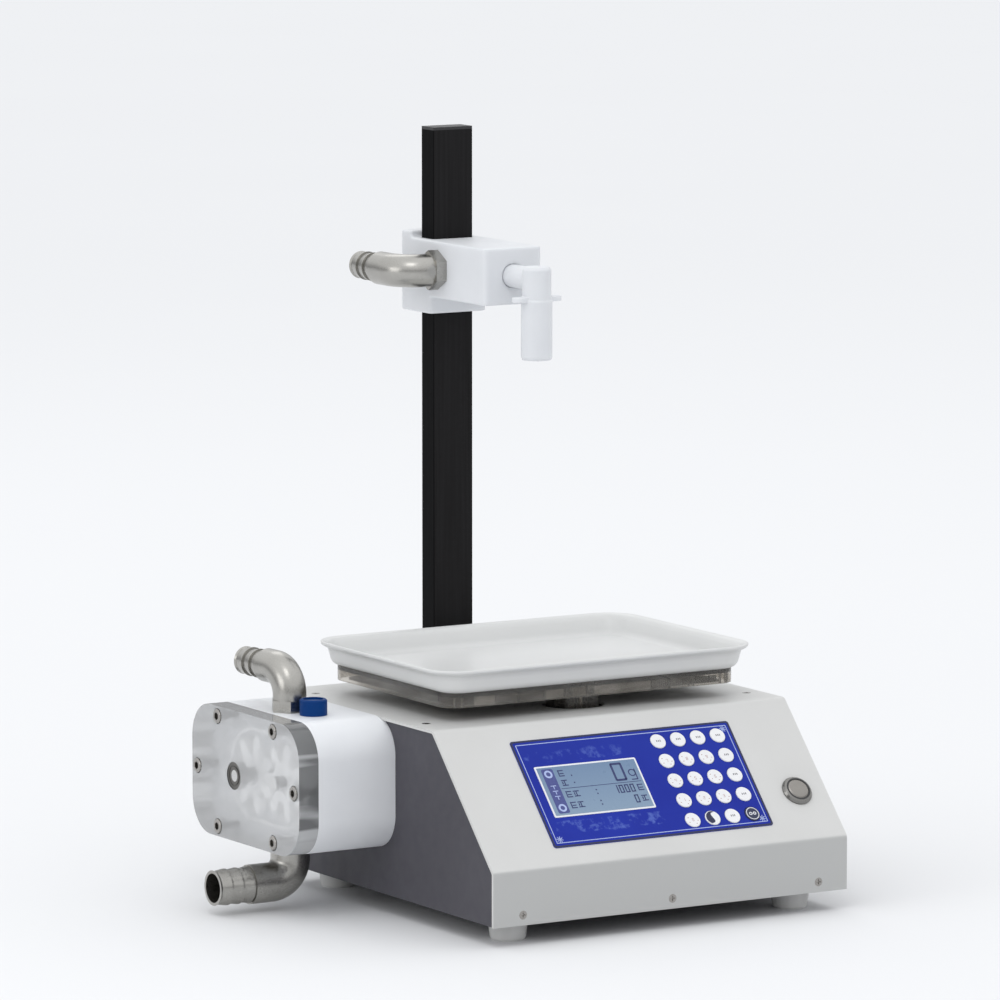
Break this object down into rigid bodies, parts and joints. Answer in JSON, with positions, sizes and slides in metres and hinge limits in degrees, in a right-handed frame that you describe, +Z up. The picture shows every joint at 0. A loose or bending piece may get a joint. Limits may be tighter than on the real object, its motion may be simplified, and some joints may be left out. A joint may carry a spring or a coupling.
{
  "type": "gear pump liquid filling machine",
  "caption": "Desktop liquid filler: a gear pump head on the side of a sloped console with a weighing tray and a nozzle sliding on a post.",
  "frame": {"origin": "centre of the whole object's footprint, on the plane that its feet stand on", "axes": "+X to the right and +Z up, seen from the front, where the control face is; +Y to the rear"},
  "size_m": [0.381, 0.34, 0.519],
  "materials": {
    "chassis_paint": "satin powder coat",
    "cover_paint": "satin powder coat",
    "screw_steel": "satin",
    "foot_rubber": "matt light grey",
    "overlay_film": "satin printed film",
    "display": "display behind a clear sheet",
    "circuit_board": "solder mask",
    "stainless": "polished stainless steel",
    "psu_case": "plain",
    "black_plastic": "fine texture",
    "rocker_red": "gloss",
    "load_cell_alloy": "machined",
    "clear_plastic": "clear acrylic",
    "tray_plastic": "gloss white",
    "bracket_steel": "zinc plated",
    "motor_paint": "satin black",
    "shaft_steel": "ground",
    "coupling_alloy": "turned",
    "gear_plastic": "white engineering plastic",
    "pump_plastic": "white engineering plastic",
    "seal_rubber": "matt black",
    "bearing_steel": "ground",
    "cap_blue": "blue moulded plastic",
    "post_paint": "satin black",
    "nozzle_plastic": "translucent white plastic",
    "key_white": "white with grey marks",
    "key_dark": "dark blue with a white ring"
  },
  "bodies": {
    "machine": {"base_chassis": "chassis_paint", "top_cover": "cover_paint", "cover_screws": "screw_steel", "rubber_feet": "foot_rubber", "frame_bolts": "screw_steel", "keypad_overlay": "overlay_film", "lcd_module": "display", "control_board": "circuit_board", "start_button_bezel": "stainless", "power_supply": "psu_case", "power_inlet": "black_plastic", "load_cell": "load_cell_alloy", "platform": "clear_plastic", "motor_bracket": "bracket_steel", "motor_body": "motor_paint", "idler_shaft": "shaft_steel", "pump_body": "pump_plastic", "pump_window": "clear_plastic", "pump_bolts": "screw_steel", "bearing_outer_rings": "bearing_steel", "shaft_seal": "seal_rubber", "chamber_o_ring": "seal_rubber", "inlet_elbow": "stainless", "outlet_elbow": "stainless", "post": "post_paint", "post_cap": "black_plastic"},
    "pump_rotor": {"drive_gear": "gear_plastic", "drive_shaft": "shaft_steel", "shaft_coupling": "coupling_alloy", "motor_shaft": "shaft_steel", "bearing_inner_rings": "bearing_steel"},
    "idler_rotor": {"idler_gear": "gear_plastic"},
    "nozzle_carriage": {"nozzle_block": "nozzle_plastic", "nozzle_elbow": "stainless", "nozzle_tube": "nozzle_plastic"},
    "clamp_knob": {"clamp_knob": "black_plastic"},
    "vent_cap": {"vent_cap": "cap_blue"},
    "tray": {"tray": "tray_plastic"},
    "start_button": {"start_button": "stainless"},
    "power_rocker": {"power_rocker": "rocker_red"},
    "key_1": {"key_1": "key_white"},
    "key_2": {"key_2": "key_white"},
    "key_3": {"key_3": "key_white"},
    "key_4": {"key_4": "key_white"},
    "key_5": {"key_5": "key_white"},
    "key_6": {"key_6": "key_white"},
    "key_7": {"key_7": "key_white"},
    "key_8": {"key_8": "key_white"},
    "key_9": {"key_9": "key_white"},
    "key_10": {"key_10": "key_white"},
    "key_11": {"key_11": "key_white"},
    "key_12": {"key_12": "key_white"},
    "key_13": {"key_13": "key_white"},
    "key_14": {"key_14": "key_white"},
    "key_15": {"key_15": "key_white"},
    "key_16": {"key_16": "key_white"},
    "key_17": {"key_17": "key_white"},
    "key_18": {"key_18": "key_white"},
    "key_19": {"key_19": "key_white"},
    "key_20": {"key_20": "key_dark"}
  },
  "joints": [
    {"name": "pump_drive", "type": "hinge", "parent": "machine", "child": "pump_rotor", "pos_m": [-0.1295, 0.0515, 0.0905], "axis": [1, 0, 0], "continuous": true},
    {"name": "pump_idler", "type": "hinge", "parent": "machine", "child": "idler_rotor", "pos_m": [-0.1295, 0.0095, 0.0905], "axis": [1, 0, 0], "continuous": true},
    {"name": "carriage_slide", "type": "slide", "parent": "machine", "child": "nozzle_carriage", "axis": [0, 0, 1], "range_m": [-0.15, 0.06]},
    {"name": "clamp_turn", "type": "hinge", "parent": "nozzle_carriage", "child": "clamp_knob", "pos_m": [0.0505, 0.166, 0.418], "axis": [0, 1, 0], "range_deg": [0, 360]},
    {"name": "tray_lift", "type": "slide", "parent": "machine", "child": "tray", "axis": [0, 0, 1], "range_m": [0, 0.04]},
    {"name": "vent_turn", "type": "hinge", "parent": "machine", "child": "vent_cap", "pos_m": [-0.125, 0.0075, 0.139], "axis": [0, 0, 1], "range_deg": [0, 360]},
    {"name": "start_press", "type": "slide", "parent": "machine", "child": "start_button", "axis": [0, 0.7314, -0.682], "range_m": [0, 0.002], "stiffness_N_per_m": 500, "springref_m": -0.001},
    {"name": "rocker_tilt", "type": "hinge", "parent": "machine", "child": "power_rocker", "pos_m": [0.1455, 0.114, 0.071], "axis": [1, 0, 0], "range_deg": [-18, 0]},
    {"name": "key_1_press", "type": "slide", "parent": "machine", "child": "key_1", "axis": [0, 0.7314, -0.682], "range_m": [0, 0.0005], "stiffness_N_per_m": 500, "springref_m": -0.0004},
    {"name": "key_2_press", "type": "slide", "parent": "machine", "child": "key_2", "axis": [0, 0.7314, -0.682], "range_m": [0, 0.0005], "stiffness_N_per_m": 500, "springref_m": -0.0004},
    {"name": "key_3_press", "type": "slide", "parent": "machine", "child": "key_3", "axis": [0, 0.7314, -0.682], "range_m": [0, 0.0005], "stiffness_N_per_m": 500, "springref_m": -0.0004},
    {"name": "key_4_press", "type": "slide", "parent": "machine", "child": "key_4", "axis": [0, 0.7314, -0.682], "range_m": [0, 0.0005], "stiffness_N_per_m": 500, "springref_m": -0.0004},
    {"name": "key_5_press", "type": "slide", "parent": "machine", "child": "key_5", "axis": [0, 0.7314, -0.682], "range_m": [0, 0.0005], "stiffness_N_per_m": 500, "springref_m": -0.0004},
    {"name": "key_6_press", "type": "slide", "parent": "machine", "child": "key_6", "axis": [0, 0.7314, -0.682], "range_m": [0, 0.0005], "stiffness_N_per_m": 500, "springref_m": -0.0004},
    {"name": "key_7_press", "type": "slide", "parent": "machine", "child": "key_7", "axis": [0, 0.7314, -0.682], "range_m": [0, 0.0005], "stiffness_N_per_m": 500, "springref_m": -0.0004},
    {"name": "key_8_press", "type": "slide", "parent": "machine", "child": "key_8", "axis": [0, 0.7314, -0.682], "range_m": [0, 0.0005], "stiffness_N_per_m": 500, "springref_m": -0.0004},
    {"name": "key_9_press", "type": "slide", "parent": "machine", "child": "key_9", "axis": [0, 0.7314, -0.682], "range_m": [0, 0.0005], "stiffness_N_per_m": 500, "springref_m": -0.0004},
    {"name": "key_10_press", "type": "slide", "parent": "machine", "child": "key_10", "axis": [0, 0.7314, -0.682], "range_m": [0, 0.0005], "stiffness_N_per_m": 500, "springref_m": -0.0004},
    {"name": "key_11_press", "type": "slide", "parent": "machine", "child": "key_11", "axis": [0, 0.7314, -0.682], "range_m": [0, 0.0005], "stiffness_N_per_m": 500, "springref_m": -0.0004},
    {"name": "key_12_press", "type": "slide", "parent": "machine", "child": "key_12", "axis": [0, 0.7314, -0.682], "range_m": [0, 0.0005], "stiffness_N_per_m": 500, "springref_m": -0.0004},
    {"name": "key_13_press", "type": "slide", "parent": "machine", "child": "key_13", "axis": [0, 0.7314, -0.682], "range_m": [0, 0.0005], "stiffness_N_per_m": 500, "springref_m": -0.0004},
    {"name": "key_14_press", "type": "slide", "parent": "machine", "child": "key_14", "axis": [0, 0.7314, -0.682], "range_m": [0, 0.0005], "stiffness_N_per_m": 500, "springref_m": -0.0004},
    {"name": "key_15_press", "type": "slide", "parent": "machine", "child": "key_15", "axis": [0, 0.7314, -0.682], "range_m": [0, 0.0005], "stiffness_N_per_m": 500, "springref_m": -0.0004},
    {"name": "key_16_press", "type": "slide", "parent": "machine", "child": "key_16", "axis": [0, 0.7314, -0.682], "range_m": [0, 0.0005], "stiffness_N_per_m": 500, "springref_m": -0.0004},
    {"name": "key_17_press", "type": "slide", "parent": "machine", "child": "key_17", "axis": [0, 0.7314, -0.682], "range_m": [0, 0.0005], "stiffness_N_per_m": 500, "springref_m": -0.0004},
    {"name": "key_18_press", "type": "slide", "parent": "machine", "child": "key_18", "axis": [0, 0.7314, -0.682], "range_m": [0, 0.0005], "stiffness_N_per_m": 500, "springref_m": -0.0004},
    {"name": "key_19_press", "type": "slide", "parent": "machine", "child": "key_19", "axis": [0, 0.7314, -0.682], "range_m": [0, 0.0005], "stiffness_N_per_m": 500, "springref_m": -0.0004},
    {"name": "key_20_press", "type": "slide", "parent": "machine", "child": "key_20", "axis": [0, 0.7314, -0.682], "range_m": [0, 0.0005], "stiffness_N_per_m": 500, "springref_m": -0.0004}
  ],
  "couplings": [
    {"joint": "pump_idler", "follows": "pump_drive", "ratio": -1}
  ]
}
